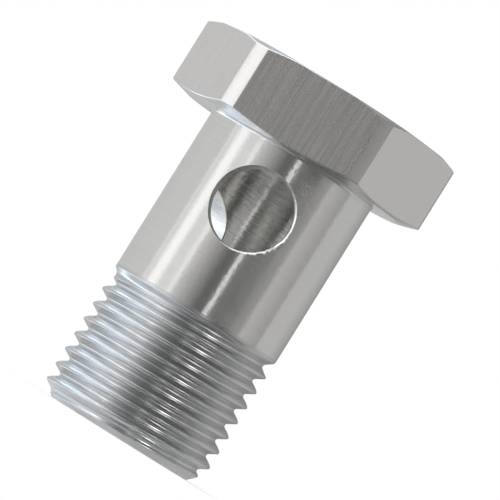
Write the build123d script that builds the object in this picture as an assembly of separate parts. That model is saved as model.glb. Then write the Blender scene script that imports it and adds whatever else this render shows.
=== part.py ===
from build123d import *
import math
import os

# Banjo bolt, turned and milled from one piece of aluminium bar.
# The axis is Z. The thread's end face lies at z = 0 and the hexagon is on top.
# One flat of the hexagon and the upper port face the front, which is -Y.
# All lengths are in millimetres and all angles in degrees.

# thread, M16 x 1.5, right-handed
thread_major_diameter = 15.85
thread_root_diameter = 14.1
thread_pitch = 1.5
thread_crest_flat = 0.28
thread_flank_angle = 30.0
thread_length = 12.3
end_chamfer = 1.2

# shallow relief with sides at 45 degrees, between the thread and the shank
relief_diameter = 15.1
relief_length = 1.3

# shank between the thread and the head
shank_diameter = 15.9
shank_length = 15.7
neck_chamfer = 0.25

# head, a hexagon milled on a round blank, which leaves a narrow band at each corner
head_across_flats = 22.0
head_height = 6.6
corner_turned_off = 0.4
crown_chamfer_width = 1.1
crown_angle = 20.0
bearing_chamfer_width = 1.7
bearing_chamfer_angle = 15.4

# blind bore along the axis, open at the thread's end face
bore_diameter = 10.5
bore_depth = 26.8
drill_point_angle = 118.0

# two ports drilled through the shank's wall into the bore
port_diameter = 7.2
upper_port_drop = 5.8
lower_port_drop = 8.95
lower_port_turn = -115.0
port_edge_break = 0.1

# sizes that follow
thread_major_radius = thread_major_diameter / 2
thread_root_radius = thread_root_diameter / 2
thread_depth = thread_major_radius - thread_root_radius
relief_radius = relief_diameter / 2
shank_radius = shank_diameter / 2
blank_radius = head_across_flats / math.sqrt(3) - corner_turned_off
bore_radius = bore_diameter / 2
bearing_height = thread_length + shank_length
overall_length = bearing_height + head_height


def tan(degrees):
    """tangent of an angle given in degrees"""
    return math.tan(math.radians(degrees))


def turned_outline():
    """half section of the turned bar, from the end face up to the crown"""
    relief_start = thread_length - relief_length
    bearing_rise = bearing_chamfer_width * tan(bearing_chamfer_angle)
    crown_fall = crown_chamfer_width * tan(crown_angle)
    corners = [
        (0, 0),
        (thread_major_radius - end_chamfer, 0),
        (thread_major_radius, end_chamfer),
        (thread_major_radius, relief_start),
        (relief_radius, relief_start + thread_major_radius - relief_radius),
        (relief_radius, thread_length - shank_radius + relief_radius),
        (shank_radius, thread_length),
        (shank_radius, bearing_height - neck_chamfer),
        (shank_radius + neck_chamfer, bearing_height),
        (blank_radius - bearing_chamfer_width, bearing_height),
        (blank_radius, bearing_height + bearing_rise),
        (blank_radius, overall_length - crown_fall),
        (blank_radius - crown_chamfer_width, overall_length),
        (0, overall_length),
    ]
    return make_face(Plane.XZ * Polyline(*corners, close=True))


def turned_bar():
    """the bolt as the lathe leaves it"""
    return revolve(turned_outline(), Axis.Z, 360)


def outside_hexagon():
    """what the milling cutter takes off the head, outside six flats of which one faces the front"""
    section = Circle(2 * blank_radius) - RegularPolygon(
        radius=head_across_flats / 2, side_count=6, major_radius=False
    )
    return extrude(Pos(0, 0, bearing_height) * section, amount=head_height)


def bore():
    """blind bore from the end face up to its drill point"""
    point = bore_radius / tan(drill_point_angle / 2)
    corners = [(0, 0), (bore_radius, 0), (bore_radius, bore_depth), (0, bore_depth + point)]
    return revolve(make_face(Plane.XZ * Polyline(*corners, close=True)), Axis.Z, 360)


def port(drop, turn):
    """drilled hole from the axis outwards, this far below the head and turned from the front"""
    drill = Cylinder(port_diameter / 2, blank_radius, align=(Align.CENTER, Align.CENTER, Align.MIN))
    return Rot(0, 0, turn) * Pos(0, 0, bearing_height - drop) * Rot(90, 0, 0) * drill


def on_port_rim(edge):
    """true for an edge on the shank's surface that is neither a circle nor a line"""
    point = edge @ 0.3
    on_shank = abs(math.hypot(point.X, point.Y) - shank_radius) < 0.01
    return on_shank and edge.geom_type not in (GeomType.CIRCLE, GeomType.LINE)


def drilled(bar):
    """the bar with its bore and its two ports, and the ports' outer edges broken"""
    bolt = bar - bore()
    bolt = bolt - port(upper_port_drop, 0)
    bolt = bolt - port(lower_port_drop, lower_port_turn)
    rims = [edge for edge in bolt.edges() if on_port_rim(edge)]
    return chamfer(rims, port_edge_break)


def groove_section(height):
    """section of the thread's groove at this height, on +X and facing the way the groove runs"""
    clearance = thread_depth / 4
    crest_half = (thread_pitch - thread_crest_flat) / 2
    root_half = crest_half - thread_depth * tan(thread_flank_angle)
    outer_half = crest_half + clearance * tan(thread_flank_angle)
    corners = [
        (thread_root_radius, height - root_half),
        (thread_major_radius + clearance, height - outer_half),
        (thread_major_radius + clearance, height + outer_half),
        (thread_root_radius, height + root_half),
    ]
    return -make_face(Plane.XZ * Polyline(*corners, close=True)).face()


def threaded(bolt):
    """the bolt with the groove cut turn by turn up the thread, then out along the tangent"""
    groove_end = thread_length - (thread_pitch - thread_crest_flat) / 2
    turns = math.ceil(groove_end / thread_pitch) + 1
    path = Helix(pitch=thread_pitch, height=thread_pitch, radius=thread_root_radius)
    turn = sweep(groove_section(0), path=path, is_frenet=True)
    groove = [Pos(0, 0, groove_end - thread_pitch * (i + 1)) * turn for i in range(turns)]
    way_out = extrude(groove_section(groove_end), amount=thread_major_radius, dir=(0, 1, 0))
    return bolt - groove - way_out


milled = turned_bar() - outside_hexagon()
bolt = threaded(drilled(milled)).solid()
bolt.label = "banjo_bolt"
bolt.color = Color(0.78, 0.78, 0.79)

os.makedirs("parts", exist_ok=True)
export_step(bolt, "parts/banjo_bolt.step")
print("banjo bolt", round(overall_length, 2), "mm long,", round(bolt.volume), "cubic mm")
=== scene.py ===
import bpy
import math
import numpy as np
from mathutils import Matrix, Vector


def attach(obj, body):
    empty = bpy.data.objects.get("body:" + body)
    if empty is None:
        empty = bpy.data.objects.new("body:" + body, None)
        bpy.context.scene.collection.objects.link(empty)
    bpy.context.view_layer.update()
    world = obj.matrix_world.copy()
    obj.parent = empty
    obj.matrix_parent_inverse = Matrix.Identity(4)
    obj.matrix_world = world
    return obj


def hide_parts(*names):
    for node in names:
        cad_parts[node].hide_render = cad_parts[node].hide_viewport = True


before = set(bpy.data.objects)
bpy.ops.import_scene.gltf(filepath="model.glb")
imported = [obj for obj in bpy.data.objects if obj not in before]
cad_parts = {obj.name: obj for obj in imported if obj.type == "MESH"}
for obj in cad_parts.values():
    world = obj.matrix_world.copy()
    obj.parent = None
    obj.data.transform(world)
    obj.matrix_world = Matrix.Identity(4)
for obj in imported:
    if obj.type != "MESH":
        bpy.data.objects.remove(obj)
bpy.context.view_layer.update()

# Banjo bolt, turned and milled from one bar of aluminium. Lengths are in millimetres and angles in degrees
# until the mesh is made, which is in metres. The axis is Z, and the front port faces -Y.
millimetre = 0.001      # in metres
frontAzimuth = 270      # azimuths run from +X towards +Y


def rad(degrees):  # degrees times pi over 180
    return np.radians(degrees)


def mixed(start, end, share):  # one minus the share of the start, plus the share of the end
    return start * (1 - share) + end * share


def smoothMin(a, b, width):  # the lower of two values, with the corner between them rounded over this width
    near = np.maximum(width - np.abs(a - b), 0) / width
    return np.minimum(a, b) - near * near * width / 4


def smoothMax(a, b, width):  # the higher of two values, rounded in the same way
    return -smoothMin(-a, -b, width)


def unit(vectors):  # each vector divided by its own length
    return vectors / np.linalg.norm(vectors, axis=-1, keepdims=True)


def onAxis(radius, azimuth, height):  # x = r cos a, y = r sin a, z = height
    radius, azimuth, height = np.broadcast_arrays(radius, azimuth, height)
    return np.stack([radius * np.cos(rad(azimuth)), radius * np.sin(rad(azimuth)), height], -1)


def leaning(azimuth, lean):  # unit vector that points outwards at this azimuth and leans up from the level
    return onAxis(np.cos(rad(lean)), azimuth, np.sin(rad(lean)))


# Sizes of the solid that this skin replaces
boltSize = {
    "acrossFlats": 22.0,
    "cornerTurnedOff": 0.4,
    "headHeight": 6.6,
    "crownWidth": 1.1,
    "crownAngle": 20.0,
    "bearingWidth": 1.7,
    "bearingAngle": 15.4,
    "neckRadius": 0.25,
    "shankRadius": 7.95,
    "shankLength": 15.7,
    "threadRadius": 7.925,
    "rootRadius": 7.05,
    "pitch": 1.5,
    "crestFlat": 0.28,
    "flankAngle": 30.0,
    "threadLength": 12.3,
    "endChamfer": 1.2,
    "reliefRadius": 7.55,
    "reliefLength": 1.3,
    "boreRadius": 5.25,
    "boreDepth": 26.8,
    "drillAngle": 118.0,
    "portRadius": 3.6,
    "portDrops": (5.8, 8.95),
    "portTurns": (0.0, -115.0),
}
bearingHeight = boltSize["threadLength"] + boltSize["shankLength"]
topHeight = bearingHeight + boltSize["headHeight"]
blankRadius = boltSize["acrossFlats"] / math.sqrt(3) - boltSize["cornerTurnedOff"]

meshing = {
    "columns": 180,         # round the axis, 2 degrees each, as many as the head's outline has points
    "rowStep": 0.3,         # up the shank and the bore
    "arcRows": 5,           # over a small round corner
    "flatRings": 5,         # across a flat ring
    "drillRings": 8,        # up the drill's point
    "weldSteps": 1e5,       # in a millimetre, and points in the same step become one
}
azimuths = np.linspace(0, 360, meshing["columns"] + 1)

# The bolt's mesh is made of grids that share their border points, welded into one closed skin.
grids = []
finishes = ["turned", "milled", "faced", "threaded", "bored"]


def addGrid(points, normals, finish, skip=None):
    # a grid is rows by columns by xyz, and finish is one name or a name's number for each face
    rows, columns = points.shape[0] - 1, points.shape[1] - 1
    number = finishes.index(finish) if isinstance(finish, str) else finish
    keep = np.ones((rows, columns), bool) if skip is None else ~skip
    numbers = np.broadcast_to(number, (rows, columns))
    grids.append((points, np.broadcast_to(normals, points.shape), numbers, keep))


# A section carried round the axis: each row has a radius, a height and the lean of its normal.
def addTurned(radii, heights, leans, finish, skip=None):
    radii, heights, leans = (v[:, None] for v in np.broadcast_arrays(radii, heights, leans))
    addGrid(onAxis(radii, azimuths, heights), leaning(azimuths, leans), finish, skip)


head = {
    "sides": 6,
    "round": 0.13,          # its edges
    "flatPoints": 11,       # along half a flat, from its middle to its end
    "edgePoints": 3,        # at that end, turned in steps through the edge
    "bandPoints": 2,        # along half of the band at a corner
    "chamferRows": 4,       # over the corner between a face and its chamfer
    "wallRows": 7,          # over the corner between a chamfer and the wall
    "wallLean": 30,         # what leans less than this has the wall's finish
    "topRings": 6,
}


# The head's outline is a hexagon cut by a circle, shrunk by the rounding and followed from corner to
# corner. It is worked out for half a side, from the middle of a flat, and the other half mirrors it.
def headOutline():
    sides, onFlat, atEdge = head["sides"], head["flatPoints"], head["edgePoints"]
    halfSide = 180 / sides
    flat = boltSize["acrossFlats"] / 2 - head["round"]
    band = blankRadius - head["round"]
    flatEnd = math.sqrt(band ** 2 - flat ** 2)
    edge = math.degrees(math.acos(flat / band))
    turned = edge * np.arange(1, atEdge + 1) / atEdge
    bandAngle = np.linspace(edge, halfSide, head["bandPoints"] + 1)[1:]
    x = np.concatenate([np.full(onFlat + atEdge, flat), band * np.cos(rad(bandAngle))])
    sideways = np.concatenate([np.linspace(0, flatEnd, onFlat), np.full(atEdge, flatEnd)])
    y = np.concatenate([sideways, band * np.sin(rad(bandAngle))])
    facing = np.concatenate([np.zeros(onFlat), turned, bandAngle])
    x = np.concatenate([x[:0:-1], x[:-1]])
    y = np.concatenate([-y[:0:-1], y[:-1]])
    facing = np.concatenate([-facing[:0:-1], facing[:-1]])
    onBand = np.zeros(len(x), bool)
    onBand[:head["bandPoints"]] = True
    onBand[-head["bandPoints"]:] = True
    middles = halfSide + 2 * halfSide * np.arange(sides)[:, None]
    azimuth = (middles + np.degrees(np.arctan2(y, x))).ravel()
    normalAzimuth = (middles + facing).ravel()
    radius = np.tile(np.hypot(x, y), sides)
    return (np.append(azimuth, azimuth[0] + 360), np.append(normalAzimuth, normalAzimuth[0] + 360),
            np.append(radius, radius[0]), np.tile(onBand, sides))


# The head is its section, with each corner rounded, carried round that outline. A row is one lean of the
# surface's normal: its corner of the section shrunk by the rounding, plus the rounding along the normal.
def makeHead():
    azimuth, normalAzimuth, wall, onBand = headOutline()
    soft = head["round"]
    crown, under = boltSize["crownAngle"], boltSize["bearingAngle"]
    top, bottom = topHeight - soft, bearingHeight + soft
    crownStart = blankRadius - boltSize["crownWidth"]
    bearingRadius = blankRadius - boltSize["bearingWidth"]
    crownInner = np.minimum(crownStart - soft * math.tan(rad(crown / 2)), wall)
    crownLow = top - (wall - crownInner) * math.tan(rad(crown))
    bearingOuter = bearingRadius - soft * math.tan(rad(under / 2))
    underHigh = bottom + (wall - bearingOuter) * math.tan(rad(under))
    corners = [(crownInner, top, np.linspace(90, 90 - crown, head["chamferRows"])),
               (wall, crownLow, np.linspace(90 - crown, 0, head["wallRows"])),
               (wall, underHigh, np.linspace(0, under - 90, head["wallRows"])),
               (bearingOuter, bottom, np.linspace(under - 90, -90, head["chamferRows"]))]
    rows, normals = [], []
    for cornerRadius, cornerHeight, cornerLeans in corners:
        for lean in cornerLeans:
            # a level normal is square to its flat, and one that leans far points away from the axis
            flatShare = np.clip(1 - abs(lean) / (90 - crown), 0, 1)
            normal = leaning(mixed(azimuth, normalAzimuth, flatShare), lean)
            rows.append(onAxis(cornerRadius, azimuth, cornerHeight) + soft * normal)
            normals.append(normal)
    rows, normals = np.array(rows), np.array(normals)
    leans = np.concatenate([cornerLeans for *_, cornerLeans in corners])
    onWall = np.abs(leans[1:] + leans[:-1]) / 2 < head["wallLean"]
    faces = np.full((len(rows) - 1, meshing["columns"]), finishes.index("faced"))
    faces[onWall] = np.where(onBand, finishes.index("turned"), finishes.index("milled"))
    addGrid(rows, normals, faces)
    # the top's rim closes to a pole in the middle
    share = np.linspace(0, 1, head["topRings"])[:, None, None]
    addGrid(mixed(rows[0], np.array([0, 0, topHeight]), share), np.array([0, 0, 1.0]), "faced")
    # the bearing face runs in to the neck, where the columns are even again
    neck = onAxis(boltSize["shankRadius"] + boltSize["neckRadius"], azimuths, bearingHeight)
    share = np.linspace(0, 1, meshing["flatRings"])[:, None, None]
    addGrid(mixed(rows[-1], neck, share), np.array([0, 0, -1.0]), "faced")


def makeNeck():  # a hollow quarter circle between the bearing face and the shank
    turn = np.linspace(0, 90, meshing["arcRows"])
    radii = boltSize["shankRadius"] + boltSize["neckRadius"] * (1 - np.sin(rad(turn)))
    heights = bearingHeight - boltSize["neckRadius"] * (1 - np.cos(rad(turn)))
    addTurned(radii, heights, turn - 90, "turned")


# Each port has a patch of the shank and one of the bore round it. The patch is a rectangle on the unrolled
# cylinder, and each point of its border gives the port one column. The outer edge is broken: widest at the
# right and nearly sharp at the left, and ragged at the lower right.
ports = {
    "wrap": 26,             # columns from a port's middle to the left and right border of its patch
    "reach": 4.3,           # from its middle to the lower and upper border, or up to a row more
    "patchShares": [0, 0.05, 0.13, 0.25, 0.42, 0.65, 1.0],          # rings of a patch, closest at the rim
    "rimTurns": [-180, -135, -100, -70, -30, 0, 45, 90, 135, 180],  # 0 is the right and 90 the top
    "rimWidths": [0.05, 0.08, 0.17, 0.27, 0.32, 0.29, 0.27, 0.13, 0.1, 0.05],
    "rimCuts": [47, 47, 38, 32, 35, 44, 47, 47, 47, 47],            # angle from the shank's surface
    "cutBulge": 3,          # the cut is shaded as if it bulged by this angle to either side
    "innerWidth": 0.06,     # the edge at the bore
    "raggedTurn": -42,      # middle of the ragged stretch
    "raggedSpread": 26,     # how slowly it fades to either side
    "raggedDepth": 0.12,    # of its chips
    "raggedSeed": 11,
    "wallRows": 9,          # along the drilled wall
}
# azimuth and height of each port's middle
portPlaces = [((frontAzimuth + turn) % 360, bearingHeight - drop)
              for turn, drop in zip(boltSize["portTurns"], boltSize["portDrops"])]
rng = np.random.default_rng(ports["raggedSeed"])      # for the chips of the ragged edge


def patchOf(rowHeights, place):  # first and last row and column of the rectangle round one port
    azimuth, height = place
    middle = round(azimuth * meshing["columns"] / 360)
    low = np.searchsorted(rowHeights, height - ports["reach"]) - 1
    high = np.searchsorted(rowHeights, height + ports["reach"])
    return low, high, middle - ports["wrap"], middle + ports["wrap"]


def skipPatches(rowHeights):  # true for each face of a cylinder that lies in a port's rectangle
    skip = np.zeros((len(rowHeights) - 1, meshing["columns"]), bool)
    for place in portPlaces:
        low, high, left, right = patchOf(rowHeights, place)
        skip[low:high, left:right] = True
    return skip


def borderOf(rowHeights, place):
    # azimuth and height of each point along that rectangle's border, once round
    low, high, left, right = patchOf(rowHeights, place)
    across, up = np.arange(left, right), np.arange(low, high)
    column = [across, np.full_like(up, right), across[::-1] + 1, np.full_like(up, left), [left]]
    row = [np.full_like(across, low), up, np.full_like(across, high), up[::-1] + 1, [low]]
    return azimuths[np.concatenate(column)], rowHeights[np.concatenate(row)]


def portPoint(place, turn, radius, depth):
    # a point at this radius and turn round the port's own axis, and so deep along it from the bolt's axis
    azimuth, height = place
    side = radius * np.cos(rad(turn))
    outwards = onAxis(1.0, azimuth, 0.0)
    sideways = onAxis(1.0, azimuth + 90, 0.0)
    up = np.array([0, 0, 1.0])
    rise = height + radius * np.sin(rad(turn))
    return depth[..., None] * outwards + side[..., None] * sideways + rise[..., None] * up


def wallNormal(place, turn):  # from the port's wall towards the port's axis
    return -(portPoint(place, turn, 1.0, turn * 0) - np.array([0, 0, place[1]]))


def depthOn(surfaceRadius, turn, radius):
    # how far out the surface lies there: the root of its radius squared less the way to the side squared
    return np.sqrt(surfaceRadius ** 2 - (radius * np.cos(rad(turn))) ** 2)


def fromLeft(turn):  # the same turn, counted from -180 at the left to 180
    return (turn + 180) % 360 - 180


def rimWidths(turn):
    # straight runs between the widths above, plus random chips that a bell curve keeps near the ragged turn
    base = np.interp(fromLeft(turn), ports["rimTurns"], ports["rimWidths"])
    bell = np.exp(-(fromLeft(turn) - ports["raggedTurn"]) ** 2 / (2 * ports["raggedSpread"] ** 2))
    chips = rng.uniform(-1, 1, len(turn)) * ports["raggedDepth"] * bell
    chips[-1] = chips[0]
    return base + chips


def addPatch(surfaceRadius, rowHeights, place, turn, rimRadius, facing, finish):
    # the surface between a port's rim and its rectangle, as straight runs on the unrolled cylinder
    azimuth, height = place
    edgeAzimuth, edgeHeight = borderOf(rowHeights, place)
    rimAzimuth = azimuth + np.degrees(np.arcsin(rimRadius * np.cos(rad(turn)) / surfaceRadius))
    rimHeight = height + rimRadius * np.sin(rad(turn))
    share = np.array(ports["patchShares"])[:, None]
    patchAzimuth = mixed(rimAzimuth, edgeAzimuth, share)
    patchHeight = mixed(rimHeight, edgeHeight, share)
    addGrid(onAxis(surfaceRadius, patchAzimuth, patchHeight), facing * leaning(patchAzimuth, 0.0), finish)


# An edge of a port is a straight cut, with its two ends shaded round. Inwards is 1 where
# the cut runs from the shank towards the bore, and -1 where it runs from the bore towards the shank.
def portEdge(place, turn, surfaceRadius, width, inwards):
    cut = np.interp(fromLeft(turn), ports["rimTurns"], ports["rimCuts"])
    lean = np.stack([cut * 0, cut - ports["cutBulge"], cut, cut + ports["cutBulge"], cut * 0 + 90])
    share = np.linspace(0, 1, len(lean))[:, None]
    edgeRadius = boltSize["portRadius"] + width * (1 - share)
    depth = depthOn(surfaceRadius, turn, edgeRadius) - inwards * width * share * np.tan(rad(cut))
    points = portPoint(place, turn, edgeRadius, depth)
    surfaceNormal = inwards * unit(points * np.array([1, 1, 0]))
    fromSurface, fromWall = np.cos(rad(lean))[..., None], np.sin(rad(lean))[..., None]
    normals = unit(fromSurface * surfaceNormal + fromWall * wallNormal(place, turn))
    addGrid(points, normals, "bored")
    return depth[-1]


# A port runs from the shank's patch over its broken edge, along its drilled wall and over its inner edge
# to the bore's patch. The turn of a column is the direction of its border point from the port's middle.
def makePort(place, outerRows, innerRows):
    azimuth, height = place
    outer, inner, radius = boltSize["shankRadius"], boltSize["boreRadius"], boltSize["portRadius"]
    borderAzimuth, borderHeight = borderOf(outerRows, place)
    turn = np.degrees(np.arctan2(borderHeight - height, outer * rad(borderAzimuth - azimuth)))
    rim = rimWidths(turn)
    innerRim = np.full_like(turn, ports["innerWidth"])
    addPatch(outer, outerRows, place, turn, radius + rim, 1.0, "turned")
    addPatch(inner, innerRows, place, turn, radius + innerRim, -1.0, "bored")
    outerEnd = portEdge(place, turn, outer, rim, 1)
    innerEnd = portEdge(place, turn, inner, innerRim, -1)
    share = np.linspace(0, 1, ports["wallRows"])[:, None]
    points = portPoint(place, turn, np.full_like(share * turn, radius), mixed(outerEnd, innerEnd, share))
    addGrid(points, np.broadcast_to(wallNormal(place, turn), points.shape), "bored")


endFace = {
    "round": 0.06,          # its two edges
    "chamferAngle": 45,     # of the end chamfer that the outer edge meets
    "outerRows": 4,         # over the outer edge
}
shankStart = boltSize["threadLength"] + meshing["rowStep"]      # the thread's own grid ends here


def makeShankAndBore():
    # two cylinders with their rows one step apart, less the ports' rectangles, and the ports between them
    step, threadLength = meshing["rowStep"], boltSize["threadLength"]
    shankEnd = bearingHeight - boltSize["neckRadius"]
    outerRows = shankStart + step * np.arange(int(boltSize["shankLength"] / step))
    outerRows = np.append(outerRows[outerRows < shankEnd - step / 3], shankEnd)
    rowsBelow = int((threadLength - endFace["round"]) / step)
    rowsAbove = int((boltSize["boreDepth"] - threadLength) / step)
    innerRows = threadLength + step * np.arange(-rowsBelow, rowsAbove + 1)
    innerRows = np.concatenate([[endFace["round"]], innerRows, [boltSize["boreDepth"]]])
    addTurned(boltSize["shankRadius"], outerRows, 0, "turned", skipPatches(outerRows))
    addTurned(boltSize["boreRadius"], innerRows, 180, "bored", skipPatches(innerRows))
    for place in portPlaces:
        makePort(place, outerRows, innerRows)


def makeDrillPoint():  # a cone, as high as the bore's radius over the tangent of half the drill's angle
    share = np.linspace(0, 1, meshing["drillRings"])
    point = boltSize["boreRadius"] / math.tan(rad(boltSize["drillAngle"] / 2))
    addTurned(boltSize["boreRadius"] * (1 - share), boltSize["boreDepth"] + point * share,
              180 + boltSize["drillAngle"] / 2, "bored")


thread = {
    "rootRound": 0.22,              # radius of the root
    "crestRound": 0.07,             # the crest's lower corner
    "crestRoundAbove": 0.45,        # and its upper one, which the die has left rounder
    "crestBlendStart": -0.1,        # the first gives way to the second from here above the crest's middle
    "crestBlendHeight": 0.25,       # and over this height
    "turnedRound": 0.05,            # where two turned surfaces meet
    "reliefRound": 0.2,             # the bottom of the relief
    "wayOutRound": 0.02,            # where the groove leaves its helix
    "wayOutTurn": 60,               # how far round that still shows
    "nothingCut": 99.0,             # a radius well outside the bar
    "joinDrop": 0.2,                # from the relief down to where level rows take over from the helix
    "levelRows": 56,
    "slopeHeight": 0.004,           # to either side of a point, where its slope up the axis is measured
    "slopeTurn": 0.05,              # and its slope round the axis
    # rows along the helix, over half a pitch, as heights above the root's middle
    "turnRows": [0.05, 0.1, 0.15, 0.2, 0.26, 0.33, 0.4, 0.48, 0.56, 0.6, 0.64, 0.69],
}
crestHalf = (boltSize["pitch"] - boltSize["crestFlat"]) / 2
threadDepth = boltSize["threadRadius"] - boltSize["rootRadius"]
rootHalf = crestHalf - threadDepth * math.tan(rad(boltSize["flankAngle"]))
grooveEnd = boltSize["threadLength"] - crestHalf


def turnedRadius(z):
    # the bar before threading: end chamfer, thread, shallow relief and shank, as lines at 45 degrees
    soft, reliefSoft = thread["turnedRound"], thread["reliefRound"]
    length, outside = boltSize["threadLength"], boltSize["threadRadius"]
    chamfered = smoothMin(outside - boltSize["endChamfer"] + z, outside + z * 0, soft)
    reliefDown = outside - (z - (length - boltSize["reliefLength"]))
    reliefUp = boltSize["shankRadius"] + (z - length)
    slopes = smoothMax(reliefDown, reliefUp, reliefSoft)
    valley = smoothMax(slopes, boltSize["reliefRadius"] + z * 0, reliefSoft)
    bar = np.where(z > length - boltSize["reliefLength"] / 2, boltSize["shankRadius"], chamfered)
    return smoothMin(valley, bar, soft)


def grooveProfile(h):
    # radius of the groove at this height from its middle: an arc between two straight flanks
    arc, lean = thread["rootRound"], rad(boltSize["flankAngle"])
    flank = (np.abs(h) - rootHalf) / np.tan(lean)
    arcEnd = arc * np.cos(lean)
    arcLow = (arcEnd - rootHalf) / np.tan(lean) - arc * (1 - np.sin(lean))
    bottom = arcLow + arc - np.sqrt(np.maximum(arc ** 2 - h ** 2, 0))
    return boltSize["rootRadius"] + np.where(np.abs(h) < arcEnd, bottom, flank)


def threadRadius(azimuth, z):
    # the turned bar less the groove, which climbs one pitch a turn and leaves along the tangent at its end
    around = azimuth % 360
    pitch, wayOutTurn = boltSize["pitch"], thread["wayOutTurn"]
    fromTop = z - (grooveEnd + pitch * around / 360 - pitch)
    turn = np.minimum(np.round(fromTop / pitch), 0)
    fromMiddle = fromTop - turn * pitch
    helix = grooveProfile(fromMiddle)
    straight = grooveProfile(z - grooveEnd) / np.cos(rad(np.minimum(around, wayOutTurn)))
    wayOut = np.where(around < wayOutTurn, straight, thread["nothingCut"])
    # the rounding grows over the crest by a smooth step, the square of the share times 3 less 2 shares
    aboveCrest = np.where(fromMiddle < 0, fromMiddle + pitch / 2, fromMiddle - pitch / 2)
    share = np.clip((aboveCrest - thread["crestBlendStart"]) / thread["crestBlendHeight"], 0, 1)
    growth = thread["crestRoundAbove"] - thread["crestRound"]
    rounding = thread["crestRound"] + growth * share * share * (3 - 2 * share)
    return smoothMin(turnedRadius(z), smoothMin(helix, wayOut, thread["wayOutRound"]), rounding)


def addThreadGrid(azimuth, z):  # the normal follows from the slopes of the radius round the axis and up it
    radius = threadRadius(azimuth, z)
    up, turn = thread["slopeHeight"], thread["slopeTurn"]
    slopeUp = (threadRadius(azimuth, z + up) - threadRadius(azimuth, z - up)) / (2 * up)
    riseRound = threadRadius(azimuth + turn, z) - threadRadius(azimuth - turn, z)
    slopeRound = riseRound / rad(2 * turn) / radius
    normal = leaning(azimuth, 0.0) - slopeRound[..., None] * leaning(azimuth + 90, 0.0)
    normal = normal - slopeUp[..., None] * np.array([0, 0, 1.0])
    addGrid(onAxis(radius, azimuth, z), unit(normal), "threaded")


def makeThread():
    # rows follow the helix, close together at the roots and crests, and are cut off level at both ends
    pitch, turnRows = boltSize["pitch"], np.array(thread["turnRows"])
    low = endFace["round"]
    join = boltSize["threadLength"] - boltSize["reliefLength"] - thread["joinDrop"]
    turns = math.ceil(grooveEnd / pitch) + 1
    section = np.concatenate([[0], turnRows, [pitch / 2], pitch - turnRows[::-1]])
    bases = grooveEnd - pitch * turns + (np.arange(turns)[:, None] * pitch + section[None, :]).ravel()
    z = bases[:, None] + pitch * azimuths[None, :] / 360
    z = np.clip(z, low, join)
    used = (z.max(1) > low) & (z.min(1) < join)
    first, last = np.flatnonzero(used)[[0, -1]]
    z = z[max(first - 1, 0):last + 2]
    addThreadGrid(np.broadcast_to(azimuths, z.shape), z)
    # level rows take the run-out and the relief up to the shank
    rows = np.linspace(join, shankStart, thread["levelRows"])
    z = np.repeat(rows[:, None], len(azimuths), 1)
    addThreadGrid(np.broadcast_to(azimuths, z.shape), z)


def makeEndFace():
    # a flat ring between two small arcs, of which the outer one starts on the end chamfer
    soft, lean = endFace["round"], endFace["chamferAngle"]
    outer = threadRadius(azimuths, np.full_like(azimuths, soft))
    turn = np.linspace(lean, 90, endFace["outerRows"])[:, None]
    arc = soft / (1 - math.sin(rad(lean)))
    radii = outer + arc * (np.cos(rad(turn)) - math.cos(rad(lean)))
    addGrid(onAxis(radii, azimuths, arc * (1 - np.sin(rad(turn)))), leaning(azimuths, -turn), "faced")
    share = np.linspace(0, 1, meshing["flatRings"])[:, None]
    inner = boltSize["boreRadius"] + soft
    addGrid(onAxis(mixed(radii[-1], inner, share), azimuths, share * 0), np.array([0, 0, -1.0]), "faced")
    turn = np.linspace(90, 0, meshing["arcRows"])
    addTurned(inner - soft * np.cos(rad(turn)), soft * (1 - np.sin(rad(turn))), 180 + turn, "faced")


makeHead()
makeNeck()
makeShankAndBore()
makeDrillPoint()
makeThread()
makeEndFace()
print("grids:", len(grids))


def weld():
    # points that agree to a step become one, and each face is turned so that the cross product of its
    # diagonals points as its normals do
    points = np.concatenate([g[0].reshape(-1, 3) for g in grids])
    normals = np.concatenate([g[1].reshape(-1, 3) for g in grids])
    corners, finish, start = [], [], 0
    for gridPoints, _, number, keep in grids:
        rows, columns = gridPoints.shape[:2]
        index = start + np.arange(rows * columns).reshape(rows, columns)
        corners.append(np.stack([index[:-1, :-1], index[:-1, 1:], index[1:, 1:], index[1:, :-1]], -1)[keep])
        finish.append(number[keep])
        start += rows * columns
    corners, finish = np.concatenate(corners), np.concatenate(finish)
    a, b, c, d = (points[corners[:, i]] for i in range(4))
    wrong = np.einsum("ij,ij->i", np.cross(c - a, d - b), normals[corners].sum(1)) < 0
    corners[wrong] = corners[wrong][:, ::-1]
    rounded = np.round(points * meshing["weldSteps"]).astype(np.int64)
    first, same = np.unique(rounded, axis=0, return_index=True, return_inverse=True)[1:]
    return points[first], normals, corners, same.ravel()[corners], finish


def makeMesh(name):
    # a quad with two corners in one point becomes a triangle, and what has no area is dropped
    vertices, normals, corners, welded, finish = weld()
    distinct = welded != np.roll(welded, -1, 1)
    good = (distinct.sum(1) >= 3) & (welded[:, 0] != welded[:, 2]) & (welded[:, 1] != welded[:, 3])
    distinct = distinct[good]
    counts = distinct.sum(1)
    loops = welded[good][distinct]
    ends = np.cumsum(counts)
    starts = ends - counts
    following = np.arange(len(loops)) + 1
    following[ends - 1] = starts
    edges = np.sort(np.stack([loops, loops[following]], 1), 1)
    uses = np.unique(edges, axis=0, return_counts=True)[1]
    print("skin:", len(vertices), "points,", len(counts), "faces,", int((uses != 2).sum()), "open edges")
    mesh = bpy.data.meshes.new(name)
    mesh.vertices.add(len(vertices))
    mesh.vertices.foreach_set("co", (vertices * millimetre).astype(np.float32).ravel())
    mesh.loops.add(len(loops))
    mesh.loops.foreach_set("vertex_index", loops.astype(np.int32))
    mesh.polygons.add(len(counts))
    mesh.polygons.foreach_set("loop_start", starts.astype(np.int32))
    mesh.polygons.foreach_set("material_index", finish[good].astype(np.int32))
    mesh.update(calc_edges=True)
    mesh.normals_split_custom_set(unit(normals[corners[good][distinct]]).astype(np.float32))
    return mesh


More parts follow.
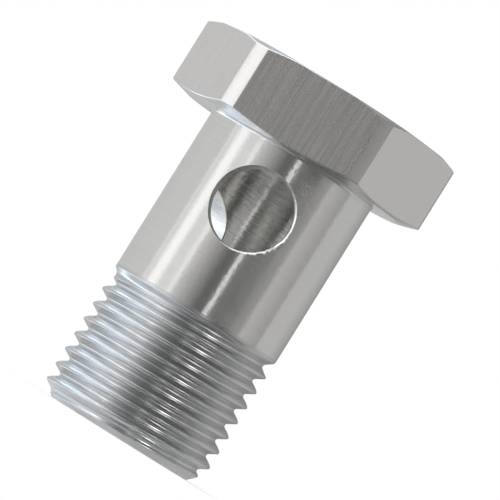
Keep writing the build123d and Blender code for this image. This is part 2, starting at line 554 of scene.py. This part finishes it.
def addObject(name, data):  # an object at the origin, in the scene's own collection
    thing = bpy.data.objects.new(name, data)
    bpy.context.scene.collection.objects.link(thing)
    return thing


boltMesh = makeMesh("banjoBolt")
bolt = addObject("banjoBoltSkin", boltMesh)
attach(bolt, "root")
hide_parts("banjo_bolt")


def hexColour(code):  # sRGB hex to linear: the low end is a line, the rest a power of 2.4
    srgb = [int(code[i:i + 2], 16) / 255 for i in (1, 3, 5)]
    return tuple(c / 12.92 if c <= 0.04045 else ((c + 0.055) / 1.055) ** 2.4 for c in srgb) + (1.0,)


def emptyTree(owner):  # the node tree of a material or of the world, with nothing in it yet
    owner.use_nodes = True
    owner.node_tree.nodes.clear()
    return owner.node_tree


def addNode(tree, kind, values=None, links=None, **settings):
    # a node with its own settings, and the values of its inputs or what they are linked to
    node = tree.nodes.new(kind)
    for name, value in settings.items():
        setattr(node, name, value)
    for name, value in (values or {}).items():
        node.inputs[name].default_value = value
    for name, socket in (links or {}).items():
        tree.links.new(socket, node.inputs[name])
    return node


# Aluminium 6061, bare. Its tool marks are lines, which are noise stretched along the way the tool went, and
# chatter, which is shorter noise across it. A mark is about half of its width, drawn about twice as coarse
# as the real feed so that it shows. Widths, lengths and depths are in millimetres. Reflections spread up and
# down where the turn is 0.25, and sideways where it is 0.
metalLooks = {
    # turned and polished on the lathe: smooth, with upright streaks of light that break into beads
    "turned": {
        "colour": "#e6e5e4", "tone": 0.03, "roughness": 0.17, "roughSpread": 0.02,
        "anisotropic": 0.6, "turn": 0.25, "marks": "level",
        "lineWidth": 0.12, "lineLength": 9.0, "lineDepth": 0.0003,
        "chatterWidth": 0.28, "chatterLength": 0.42, "chatterDepth": 0.0075,
    },
    # milled with the side of a cutter: fine lines along the axis
    "milled": {
        "colour": "#eae8e7", "tone": 0.07, "roughness": 0.26, "roughSpread": 0.05,
        "anisotropic": 0.5, "turn": 0.0, "marks": "upright",
        "lineWidth": 0.08, "lineLength": 9.0, "lineDepth": 0.0005,
        "chatterWidth": 0.3, "chatterLength": 0.3, "chatterDepth": 0.0008,
    },
    # faced on the lathe: rings round the axis
    "faced": {
        "colour": "#e6e6e6", "tone": 0.08, "roughness": 0.24, "roughSpread": 0.05,
        "anisotropic": 0.7, "turn": 0.25, "marks": "rings",
        "lineWidth": 0.14, "lineLength": 7.0, "lineDepth": 0.0008,
        "chatterWidth": 0.3, "chatterLength": 0.5, "chatterDepth": 0.001,
    },
    # thread cut with a die: bright, with fine lines along the flanks, and a colour darker than the other
    # finishes of the same metal, which is painted shade on the thread
    "threaded": {
        "colour": "#dddedf", "tone": 0.1, "roughness": 0.19, "roughSpread": 0.04,
        "anisotropic": 0.8, "turn": 0.0, "marks": "level",
        "lineWidth": 0.1, "lineLength": 8.0, "lineDepth": 0.0015,
        "chatterWidth": 0.2, "chatterLength": 1.2, "chatterDepth": 0.0006,
    },
    # drilled: fine rings, and chatter that turns streaks of light into beads. Its colour is lighter than the
    # other finishes of the same metal, which is painted light on the bore, the port walls and their edges
    "bored": {
        "colour": "#f3f2ef", "tone": 0.1, "roughness": 0.23, "roughSpread": 0.04,
        "anisotropic": 0.75, "turn": 0.25, "marks": "level",
        "lineWidth": 0.16, "lineLength": 3.0, "lineDepth": 0.0008,
        "chatterWidth": 0.22, "chatterLength": 0.7, "chatterDepth": 0.026,
    },
}
markNoise = {
    "lineDetail": 3.0,
    "chatterDetail": 1.0,
    "fineness": 0.6,
    "roughRange": (0.3, 0.7),       # part of the lines' noise over which the roughness changes
    "toneRange": (0.35, 0.65),      # and the tone
}


def markPlaces(tree, place, marks, across, along):
    # the place, scaled by how many marks there are in a metre across and along the way the tool went
    if marks == "rings":
        # x and y are scaled along, and z is the distance from the axis, scaled across
        vector = "ShaderNodeVectorMath"
        level = addNode(tree, vector, {1: (1, 1, 0)}, {0: place}, operation="MULTIPLY").outputs["Vector"]
        radius = addNode(tree, vector, links={0: level}, operation="LENGTH").outputs["Value"]
        stripes = addNode(tree, "ShaderNodeMath", {1: across}, {0: radius}, operation="MULTIPLY")
        spread = addNode(tree, vector, {1: (along, along, 0)}, {0: place}, operation="MULTIPLY")
        lift = addNode(tree, "ShaderNodeCombineXYZ", links={"Z": stripes.outputs["Value"]})
        both = {0: spread.outputs["Vector"], 1: lift.outputs["Vector"]}
        return addNode(tree, vector, links=both, operation="ADD").outputs["Vector"]
    scale = (across, across, along) if marks == "upright" else (along, along, across)
    return addNode(tree, "ShaderNodeMapping", {"Scale": scale}, {"Vector": place}).outputs["Vector"]


def makeMetal(name, look):
    # the lines change the roughness, the tone and the height, and the chatter only adds to the height
    material = bpy.data.materials.new(name + "Aluminium")
    tree = emptyTree(material)
    place = addNode(tree, "ShaderNodeTexCoord").outputs["Object"]
    noises = []
    for kind in ("line", "chatter"):
        across, along = 1 / (look[kind + "Width"] * millimetre), 1 / (look[kind + "Length"] * millimetre)
        noise = {"Scale": 1.0, "Detail": markNoise[kind + "Detail"], "Roughness": markNoise["fineness"]}
        links = {"Vector": markPlaces(tree, place, look["marks"], across, along)}
        noises.append(addNode(tree, "ShaderNodeTexNoise", noise, links).outputs["Fac"])
    lines, chatter = noises
    lineDepth, chatterDepth = look["lineDepth"] * millimetre, look["chatterDepth"] * millimetre
    linesBump = addNode(tree, "ShaderNodeBump", {"Strength": 1.0, "Distance": lineDepth}, {"Height": lines})
    bothBump = addNode(tree, "ShaderNodeBump", {"Strength": 1.0, "Distance": chatterDepth},
                       {"Height": chatter, "Normal": linesBump.outputs["Normal"]})
    (roughLow, roughHigh), (toneLow, toneHigh) = markNoise["roughRange"], markNoise["toneRange"]
    least, most = look["roughness"] - look["roughSpread"], look["roughness"] + look["roughSpread"]
    roughness = addNode(tree, "ShaderNodeMapRange",
                        {"From Min": roughLow, "From Max": roughHigh, "To Min": least, "To Max": most},
                        {"Value": lines})
    tone = addNode(tree, "ShaderNodeMapRange",
                   {"From Min": toneLow, "From Max": toneHigh, "To Min": 1 - look["tone"], "To Max": 1.0},
                   {"Value": lines})
    colour = addNode(tree, "ShaderNodeVectorMath", {0: hexColour(look["colour"])[:3]},
                     {"Scale": tone.outputs["Result"]}, operation="SCALE")
    tangent = addNode(tree, "ShaderNodeTangent", direction_type="RADIAL", axis="Z")
    shader = addNode(tree, "ShaderNodeBsdfPrincipled",
                     {"Metallic": 1.0, "Anisotropic": look["anisotropic"],
                      "Anisotropic Rotation": look["turn"]},
                     {"Base Color": colour.outputs["Vector"], "Roughness": roughness.outputs["Result"],
                      "Normal": bothBump.outputs["Normal"], "Tangent": tangent.outputs["Tangent"]})
    addNode(tree, "ShaderNodeOutputMaterial", links={"Surface": shader.outputs["BSDF"]})
    return material


for finish in finishes:
    boltMesh.materials.append(makeMetal(finish, metalLooks[finish]))
print("materials:", len(boltMesh.materials))


# The surroundings are plain white. Soft luminous cards hang round the bolt out of the camera's sight, as in
# a studio for metal, with lamps in front of them and a few more cards between the two. Lengths are in
# metres. Directions are degrees from the front towards the right, and heights are degrees above the level.
studio = {
    "floorRadius": 0.013,
    "floorSolid": 0.004,        # from here outwards the paper fades
    "floorSides": 96,
    "paper": "#f3f3f3",
    "floorGlow": 0.25,          # added to the light that falls on the paper, so that it shows near white
    "cardDistance": 1.1,
    "nearCardShare": 0.98,      # of that distance
    "lampShare": 0.97,
    "cardGrid": (9, 5),         # points across and up a card
    "tones": {                  # papers of a few plain greys, four of them cool and one warm
        "bright": "#e6e6e6", "pale": "#d6d6d6", "light": "#c4c4c2", "middle": "#a4a4a2", "grey": "#8e8e8c",
        "dim": "#808080", "dark": "#686866", "deep": "#5e5e5e",
        "coolWhite": "#e4f2ff", "coolPale": "#dce6ee", "coolLight": "#c8ced4", "coolGrey": "#b2b6ba",
        "warmWhite": "#f2eeea", "white": "#ffffff",
    },
    "cards": [                  # first and last direction, lowest and highest height, tone at each end
        (-180, -110, -50, 50, "light", "pale"),
        (-110, -82, -50, 50, "pale", "pale"),
        (-80, -74, -50, 50, "bright", "bright"),
        (-57, -42, -50, 50, "bright", "bright"),
        (-36, 0, -50, 50, "pale", "dark"),
        (0, 12, -50, 50, "dark", "dark"),
        (17, 40, -50, 50, "dim", "dark"),
        (40, 50, -50, 50, "dark", "dim"),
        (50, 66, -50, 50, "grey", "middle"),
        (66, 98, -50, 50, "light", "middle"),
        (98, 128, -50, 50, "light", "light"),
        (128, 180, -50, 50, "light", "grey"),
        (-180, -110, 50, 90, "coolLight", "coolPale"),
        (-60, 30, 50, 90, "coolGrey", "dark"),
        (50, 180, 38, 90, "deep", "grey"),
        (30, 50, 50, 90, "dark", "dark"),
        (-180, -60, -90, -50, "coolLight", "coolLight"),
        (-60, 30, -90, -50, "coolGrey", "deep"),
        (30, 180, -90, -50, "deep", "middle"),
    ],
    "nearCards": [              # the same four limits, one tone and a strength
        (-150, -56, 30, 80, "coolWhite", 1.9),
        (-150, -50, -28, -12, "coolWhite", 1.9),
        (-150, -50, -50, -28, "coolPale", 1.0),
        (-50, -34, -30, -9, "warmWhite", 1.4),
        (56, 128, -20, -9, "dim", 1.0),
        (-20, 98, -50, -20, "dark", 1.0),
    ],
    "lamps": [                  # the same
        (-71, -60, -50, 50, "white", 1.2),
        (-52, -40, 16, 40, "white", 2.8),
        (-48, -8, 50, 68, "white", 1.9),
        (35, 48, 16, 40, "white", 5.0),
    ],
}


def makeWorld():  # plain white from every side
    world = bpy.data.worlds.new("studio")
    bpy.context.scene.world = world
    tree = emptyTree(world)
    white = addNode(tree, "ShaderNodeBackground", {"Color": hexColour("#ffffff"), "Strength": 1.0})
    addNode(tree, "ShaderNodeOutputWorld", links={"Surface": white.outputs["Background"]})


def cardPieces():
    # each card's four limits, its light at both ends, which is tone times strength, and its nearness
    tones = {name: np.array(hexColour(code)) for name, code in studio["tones"].items()}
    pieces = [(limits, tones[one], tones[other], 1.0) for *limits, one, other in studio["cards"]]
    for kind, share in (("lamps", studio["lampShare"]), ("nearCards", studio["nearCardShare"])):
        for *limits, tone, strength in studio[kind]:
            pieces.append((limits, tones[tone] * strength, tones[tone] * strength, share))
    return pieces


def makeCards():
    # pieces of a sphere, each with its light running evenly from one end to the other
    columns, rows = studio["cardGrid"]
    across, up = np.meshgrid(np.linspace(0, 1, columns), np.linspace(0, 1, rows))
    firstCorners = (np.arange(rows - 1)[:, None] * columns + np.arange(columns - 1)).ravel()
    points, faces, colours = [], [], []
    for (first, last, low, high), one, other, nearness in cardPieces():
        direction = first + (last - first) * across
        height = low + (high - low) * up
        corner = rows * columns * len(points) + firstCorners
        sphere = leaning(frontAzimuth + direction, height).reshape(-1, 3)
        points.append(sphere * studio["cardDistance"] * nearness)
        colours.append(mixed(one, other, across[..., None]).reshape(-1, 4))
        faces.append(np.stack([corner, corner + 1, corner + columns + 1, corner + columns], -1))
    mesh = bpy.data.meshes.new("cards")
    mesh.from_pydata(np.concatenate(points).tolist(), [], np.concatenate(faces).tolist())
    glow = mesh.color_attributes.new("glow", "FLOAT_COLOR", "POINT")
    glow.data.foreach_set("color", np.concatenate(colours).astype(np.float32).ravel())
    cards = addObject("cards", mesh)
    cards.visible_camera = False
    material = bpy.data.materials.new("cardLight")
    tree = emptyTree(material)
    colour = addNode(tree, "ShaderNodeAttribute", attribute_name="glow").outputs["Color"]
    light = addNode(tree, "ShaderNodeEmission", {"Strength": 1.0}, {"Color": colour})
    addNode(tree, "ShaderNodeOutputMaterial", links={"Surface": light.outputs["Emission"]})
    mesh.materials.append(material)


def makeFloor():
    # a plain white disc of paper, which fades out towards its rim so that no edge shows
    turn = np.linspace(0, 360, studio["floorSides"], endpoint=False)
    mesh = bpy.data.meshes.new("floor")
    mesh.from_pydata(onAxis(studio["floorRadius"], turn, 0.0).tolist(), [], [list(range(len(turn)))])
    floor = addObject("floor", mesh)
    material = bpy.data.materials.new("floorPaper")
    tree = emptyTree(material)
    place = addNode(tree, "ShaderNodeTexCoord").outputs["Object"]
    distance = addNode(tree, "ShaderNodeVectorMath", links={0: place}, operation="LENGTH").outputs["Value"]
    fade = addNode(tree, "ShaderNodeMapRange",
                   {"From Min": studio["floorSolid"], "From Max": studio["floorRadius"]},
                   {"Value": distance}, interpolation_type="SMOOTHSTEP")
    paper = addNode(tree, "ShaderNodeBsdfDiffuse", {"Color": hexColour(studio["paper"])})
    clear = addNode(tree, "ShaderNodeBsdfTransparent")
    # the glow shows straight on and in metal and glass, and lights nothing
    glow = addNode(tree, "ShaderNodeEmission",
                   {"Color": hexColour("#ffffff"), "Strength": studio["floorGlow"]})
    white = addNode(tree, "ShaderNodeAddShader",
                    links={0: paper.outputs["BSDF"], 1: glow.outputs["Emission"]})
    path = addNode(tree, "ShaderNodeLightPath").outputs
    mirrored = addNode(tree, "ShaderNodeMath",
                       links={0: path["Is Glossy Ray"], 1: path["Is Transmission Ray"]},
                       operation="MAXIMUM").outputs["Value"]
    direct = addNode(tree, "ShaderNodeMath", links={0: path["Is Camera Ray"], 1: mirrored},
                     operation="MAXIMUM").outputs["Value"]
    shown = addNode(tree, "ShaderNodeMixShader",
                    links={0: direct, 1: paper.outputs["BSDF"], 2: white.outputs["Shader"]})
    seen = addNode(tree, "ShaderNodeMixShader",
                   links={0: fade.outputs["Result"], 1: shown.outputs["Shader"], 2: clear.outputs["BSDF"]})
    addNode(tree, "ShaderNodeOutputMaterial", links={"Surface": seen.outputs["Shader"]})
    mesh.materials.append(material)


shot = {
    "distance": 0.5045,
    "azimuth": 5.4,             # from the front towards the right
    "height": 0.0027,           # level of the lens above the end face
    "aimHeight": 0.01949,       # what the middle of the picture shows: this far up the bolt's axis
    "aimRight": 0.00103,        # and to the right of it
    "axisLean": 58.1,           # the bolt's axis in the picture, as degrees above the horizontal
    "lens": 427.4,              # lens and sensor in millimetres, all other lengths in metres
    "sensor": 36.0,
    "nearest": 0.05,
    "farthest": 20,
}


def makeCamera():
    # it looks from its place to its aim, and rolls until the bolt's axis has its lean in the picture
    data = bpy.data.cameras.new("camera")
    data.lens = shot["lens"]
    data.sensor_width = shot["sensor"]
    data.clip_start = shot["nearest"]
    data.clip_end = shot["farthest"]
    camera = addObject("camera", data)
    bpy.context.scene.camera = camera
    turn = math.radians(shot["azimuth"])
    right = Vector((math.cos(turn), math.sin(turn), 0))
    place = Vector((math.sin(turn), -math.cos(turn), 0)) * shot["distance"] + Vector((0, 0, shot["height"]))
    aim = right * shot["aimRight"] + Vector((0, 0, shot["aimHeight"]))
    look = (aim - place).normalized()
    side = look.cross(Vector((0, 0, 1))).normalized()
    up = side.cross(look)
    lean = math.radians(shot["axisLean"])
    imageX = side * math.sin(lean) + up * math.cos(lean)
    imageY = -side * math.cos(lean) + up * math.sin(lean)
    camera.matrix_world = Matrix((imageX, imageY, -look)).transposed().to_4x4()
    camera.location = place


makeWorld()
makeCards()
makeFloor()
makeCamera()
bpy.context.scene.view_settings.view_transform = "Standard"
print("studio and camera made")
